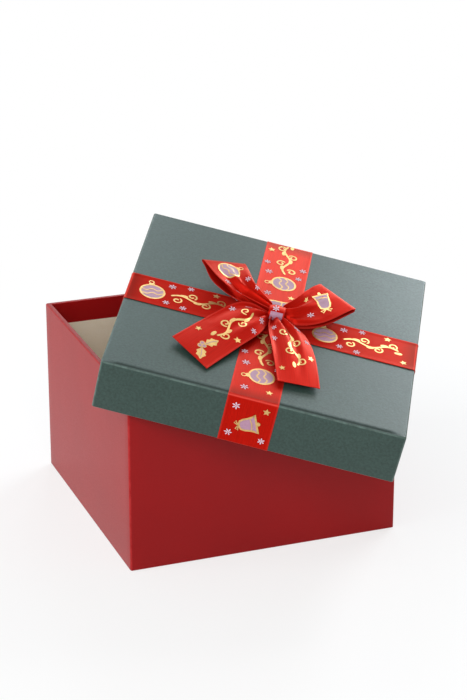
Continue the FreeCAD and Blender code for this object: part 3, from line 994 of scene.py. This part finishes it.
def holly(art):
    """Two leaves with a vein each, and three berries."""
    half = []
    for step in range(13):
        part = step / 12
        bulge = 0.36 * math.sin(math.pi * part) * (1 + 0.22 * math.cos(6 * math.pi * part))
        half.append((0.2 + 1.2 * part, bulge))
    leaf = half + [(x, -y) for x, y in reversed(half[1:-1])]
    vein = [(0.3, 0), (0.8, 0.04), (1.25, 0)]
    for angle in (28, 152):
        art.fill(turned(leaf, angle), GOLD)
        art.stroke(turned(vein, angle), 0.45, LILAC, level=2)
    for middle in ((-0.16, -0.1), (0.16, -0.1), (0, 0.16)):
        berry = oval(0.17, 10, middle=middle)
        art.fill(berry, LILAC, level=2)
        art.stroke(berry, 0.4, GOLD, level=3, closed=True)


def scroll(art):
    """A run of curling tendrils with small leaves."""
    stem = [(-3.4 + 6.8 * step / 40, 0.42 * math.sin(math.pi * 1.5 * step / 20)) for step in range(41)]
    art.stroke(stem, 1.15, GOLD)
    for number in range(4):
        begin = -2.6 + 1.75 * number
        side = 1 if number % 2 else -1
        curl = []
        for step in range(22):
            angle = math.radians(30 + 400 * step / 21)
            radius = 0.62 * (1 - 0.72 * step / 21)
            curl.append((begin + radius * math.sin(angle), side * (0.72 - radius * math.cos(angle))))
        art.stroke(curl, 0.85, GOLD)
        leaf = oval(0.5, 14, stretch=0.5, middle=(begin + 0.75, side * 0.5))
        art.fill([(x, -y) for x, y in leaf], GOLD)


# The repeating print as (motif, along, across, turn, size)
REPEAT = [
    (bauble, 8.5, -1.2, 12, 6.2), (snowflake, 17.6, 7.8, 25, 2.1), (snowflake, 16.8, -8.2, 0, 1.8),
    (scroll, 32.5, 0.0, 3, 4.2), (snowflake, 27.0, 9.8, 12, 1.8), (star, 40.4, 9.2, 15, 2.1),
    (snowflake, 25.8, -9.6, 20, 1.9), (holly, 58.0, 0.6, 8, 6.8), (star, 50.0, -8.6, 40, 1.9),
    (snowflake, 64.4, -8.0, 5, 2.1), (bell, 76.0, -1.0, -10, 6.6), (snowflake, 67.0, 8.8, 0, 1.9),
    (snowflake, 86.4, 5.8, 20, 2.1), (star, 86.2, -6.6, 0, 1.9),
]
REPEAT_LENGTH = 90.0
# How far a motif reaches along the ribbon, in its own sizes
ROOM = {bauble: 1.2, bell: 1.25, holly: 1.3, scroll: 3.6, star: 1.4, snowflake: 1.4}
# The large motif on each skirt by the band's axis, and the small ones round it
SKIRT_LARGE = (bauble, bell)
SKIRT_SMALL = [
    (snowflake, 8.0, 7.4, 10, 2.0), (snowflake, -8.0, 8.2, 30, 1.9), (star, 8.4, -7.6, 0, 2.0),
    (snowflake, -8.8, -8.4, 0, 1.8),
]
# Where the repeat starts: on a band from the lid's edge by its axis, on a loop from its turn, and on a tail
BAND_START = (4.0, 12.0)
LOOP_START = {"left": 2.0, "right": -64.0}
TAIL_START = {"left": -8.0, "right": -6.0}
# The print's clear ends: on a loop's upper half at the turn and the knot, on its lower half, and on a tail
UPPER_CLEAR = (2.0, 7.0)
LOWER_CLEAR = (9.0, 3.0)
TAIL_CLEAR = 5.0
# The knot's motifs, placed by the share of its length and from the middle of its outer face
KNOT_PRINT = [(snowflake, 0.53, -0.8, 10, 1.8), (patch, 0.69, 0.2, 0, 1.0)]


def lay(art, start, motifs):
    """Put down a list of motifs from a place along the ribbon."""
    for motif, along, across, turn, size in motifs:
        art.pen = ((start + along, across), turn, size)
        motif(art)


def printed_run(art, begin, end, start):
    """The repeating print between two places along a ribbon, for the motifs that fit in whole."""
    first = math.floor((begin - start) / REPEAT_LENGTH)
    last = math.ceil((end - start) / REPEAT_LENGTH)
    for count in range(first, last):
        offset = start + count * REPEAT_LENGTH
        for row in REPEAT:
            motif, along, across, turn, size = row
            room = ROOM[motif] * size
            if begin + room <= offset + along <= end - room:
                lay(art, offset, [row])


def print_band(art, axis):
    """The repeat over the lid's top, and one group of motifs on each skirt."""
    lid_low, lid_high = lid_box("lid_wrap")
    top_run = 2 * lid_high[axis] / MM
    skirt = -lid_low.z / MM
    begin = (art.length - top_run) / 2
    printed_run(art, begin, begin + top_run, begin + BAND_START[axis])
    for middle in (begin - skirt / 2, begin + top_run + skirt / 2):
        lay(art, middle, [(SKIRT_LARGE[axis], -1.0, -1.0, 20, 5.6), *SKIRT_SMALL])


def print_loop(art, hand):
    """The repeat on a loop's upper and lower halves."""
    half = art.length / 2
    printed_run(art, half + UPPER_CLEAR[0], art.length - UPPER_CLEAR[1], half + LOOP_START[hand])
    printed_run(art, LOWER_CLEAR[0], half - LOWER_CLEAR[1], 0.0)


def print_knot(art):
    """A snowflake and part of a larger motif on the knot's outer face."""
    face = (RIBBON_MM - KNOT_FACE) / 2
    for motif, share, across, turn, size in KNOT_PRINT:
        lay(art, share * art.length, [(motif, 0.0, face + across, turn, size)])


def print_ribbons(ribbons):
    """Print each ribbon, and return its print by node."""
    prints = {}
    for node, ribbon in ribbons.items():
        art = Print(ribbon)
        hand = "left" if "left" in node else "right"
        if node.startswith("ribbon"):
            print_band(art, 1 if node == "ribbon_front_back" else 0)
        elif node.endswith("loop"):
            print_loop(art, hand)
        elif node.endswith("tail"):
            printed_run(art, TAIL_CLEAR, art.length, TAIL_START[hand])
        else:
            print_knot(art)
        prints[node] = art.make()
    return prints


def make_ribbon_pieces():
    """The ribbons and their prints."""
    ribbons = make_ribbons()
    for node, ribbon in ribbons.items():
        grid = GRIDS[next(kind for kind in GRIDS if kind in node)]
        ribbon.make(*grid)
    prints = print_ribbons(ribbons)


def paint_nodes():
    """The pieces that keep their own shape get their materials."""
    finish = {"_board": GREYBOARD, "_stays": KRAFT, "_liner": CREAM_PAPER, "_sheet": RED_PAPER,
              "_tapes": CLEAR_TAPE, "_dot": HOT_GLUE}
    for name, item in nodes.items():
        for ending, material in finish.items():
            if name.endswith(ending):
                item.data.materials.clear()
                item.data.materials.append(material)


# Stage

SKY_STRENGTH = 0.40
FLOOR_HALF = 3.0
# The floor is whitened by this share near the object, and wholly from the far distance on
FADE_NEAR = 0.68
FADE_FROM = 0.16
FADE_TO = 0.42
LID_MIDDLE = (0.02, -0.04, 0.10)
WHITE_LIGHT = (1.0, 1.0, 1.0)
COOL_LIGHT = (0.84, 0.94, 1.0)
COOLER_LIGHT = (0.78, 0.92, 1.0)


def aimed(name, data, place, target):
    """A light or a camera at a place, turned to a target."""
    item = bpy.data.objects.new(name, data)
    item.location = place
    item.rotation_euler = (Vector(target) - Vector(place)).to_track_quat("-Z", "Y").to_euler()
    scene.collection.objects.link(item)
    return item


def softbox(name, place, target, size, watts, color=WHITE_LIGHT):
    data = bpy.data.lights.new(name, "AREA")
    data.shape = "RECTANGLE"
    data.size, data.size_y = size
    data.energy = watts
    data.color = color
    aimed(name, data, place, target)


def seen_by_eye(tree):
    """1 for rays from the camera, from gloss and through clear pieces, and 0 for the rest."""
    rays = new_node(tree, "LightPath")
    total = rays["Is Camera Ray"]
    for kind in ("Is Glossy Ray", "Is Transmission Ray"):
        total = new_node(tree, "Math", {0: total, 1: rays[kind]}, operation="MAXIMUM")["Value"]
    return total


def whitened(tree, shader, white_kind, amount):
    """The shader with plain white mixed over it."""
    white = new_node(tree, white_kind, {"Color": opaque(WHITE_LIGHT), "Strength": 1.0})[0]
    return new_node(tree, "MixShader", {"Fac": amount, 1: shader, 2: white})["Shader"]


def pale_floor():
    """A pale floor that keeps the object's shadow near it and fades to plain white away from it."""
    paint = Paint("pale_floor", (0.93, 0.93, 0.93), roughness=0.9, Specular_IOR_Level=0.1)
    position = paint.node("NewGeometry")["Position"]
    distance = paint.node("VectorMath", {0: position}, operation="LENGTH")["Value"]
    reach = {"From Min": FADE_FROM, "From Max": FADE_TO, "To Min": FADE_NEAR, "To Max": 1.0}
    fade = paint.node("MapRange", {"Value": distance, **reach}, interpolation_type="SMOOTHSTEP")["Result"]
    amount = paint.times(fade, seen_by_eye(paint.tree))
    mixed = whitened(paint.tree, paint.shader.outputs["BSDF"], "Emission", amount)
    paint.links.new(mixed, paint.tree.nodes["Material Output"].inputs["Surface"])
    return paint.material


def make_world():
    """White to the eye, and a dimmer even light on the object."""
    world = bpy.data.worlds.new("studio")
    world.use_nodes = True
    tree = world.node_tree
    sky = tree.nodes["Background"]
    sky.inputs["Color"].default_value = opaque(WHITE_LIGHT)
    sky.inputs["Strength"].default_value = SKY_STRENGTH
    mixed = whitened(tree, sky.outputs["Background"], "Background", seen_by_eye(tree))
    tree.links.new(mixed, tree.nodes["World Output"].inputs["Surface"])
    scene.world = world


def make_floor():
    corners = [(x * FLOOR_HALF, y * FLOOR_HALF, 0) for x, y in SQUARE]
    mesh = bpy.data.meshes.new("floor")
    mesh.from_pydata(corners, [], [(0, 1, 2, 3)])
    floor = bpy.data.objects.new("floor", mesh)
    scene.collection.objects.link(floor)
    mesh.materials.append(pale_floor())


def make_lights():
    softbox("back_softbox", (1.02, 0.87, 0.76), LID_MIDDLE, (0.42, 0.5), 8.4, COOL_LIGHT)
    softbox("far_softbox", (0.36, 1.02, 0.97), LID_MIDDLE, (0.3, 0.35), 2.6, COOLER_LIGHT)
    softbox("top_softbox", (0.93, 0.42, 1.08), LID_MIDDLE, (0.3, 0.4), 2.6)
    softbox("left_softbox", (-1.3, -0.1, 0.60), (0, 0, 0.05), (1.0, 1.0), 11.0)
    softbox("front_softbox", (-0.60, -1.30, 1.05), (0, 0, 0.08), (1.0, 0.8), 10.8)


def make_camera():
    data = bpy.data.cameras.new("camera")
    data.lens = CAMERA_LENS_MM
    data.clip_start = CAMERA_NEAR
    scene.camera = aimed("camera", data, CAMERA_PLACE, CAMERA_TARGET)


make_base()
make_lid()
make_ribbon_pieces()
paint_nodes()
scene.view_settings.view_transform = "Standard"
make_world()
make_floor()
make_lights()
make_camera()

bpy.context.view_layer.update()
